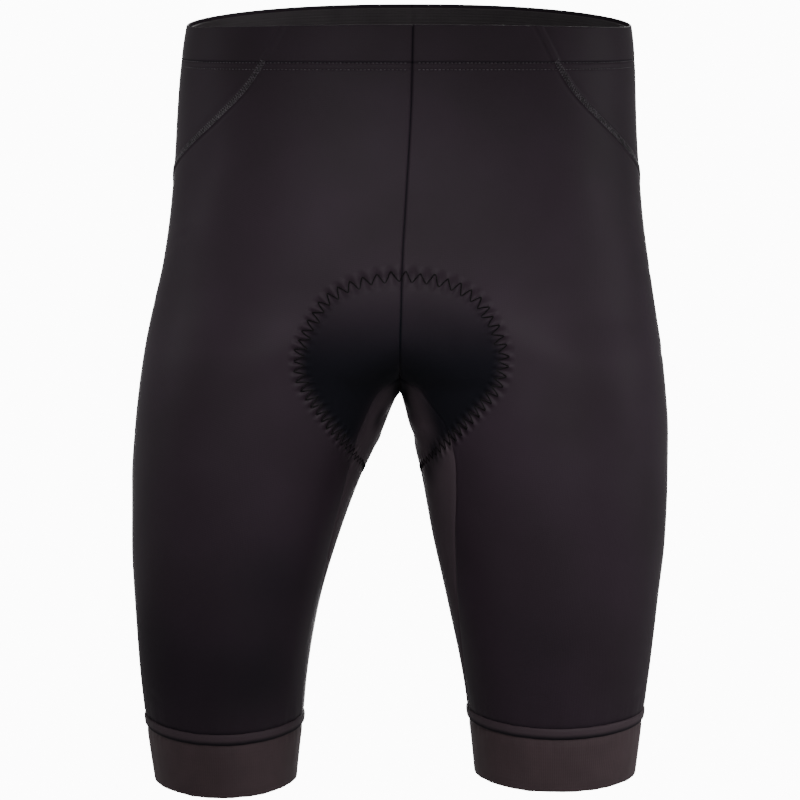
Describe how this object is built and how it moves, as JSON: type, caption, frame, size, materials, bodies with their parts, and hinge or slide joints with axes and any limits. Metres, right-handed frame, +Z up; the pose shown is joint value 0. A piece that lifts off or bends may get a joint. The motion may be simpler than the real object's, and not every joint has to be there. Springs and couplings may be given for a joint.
{
  "type": "cycling shorts",
  "caption": "Knee-length padded cycling shorts, filled out as when worn, with a curved side seam, inner leg panels and elastic leg grippers.",
  "frame": {"origin": "middle of the waist opening, level with the waist edge at the two sides", "axes": "+Z up out of the waist opening, +X to the wearer's left, -Y to the wearer's front"},
  "size_m": [0.3743, 0.2296, 0.5614],
  "materials": {
    "shell_knit": "black warp-knit nylon and elastane with a soft sheen",
    "gripper_knit": "brownish black rib-knit elastic",
    "waist_elastic": "dark grey woven elastic",
    "pad_fleece": "dark brushed fleece over foam"
  },
  "bodies": {
    "root": {"front_right": "shell_knit", "back_right": "shell_knit", "inner_right": "shell_knit", "roll_right": "shell_knit", "gripper_right": "gripper_knit", "front_left": "shell_knit", "back_left": "shell_knit", "inner_left": "shell_knit", "roll_left": "shell_knit", "gripper_left": "gripper_knit", "waist_elastic": "waist_elastic", "seat_pad": "pad_fleece"}
  },
  "joints": []
}
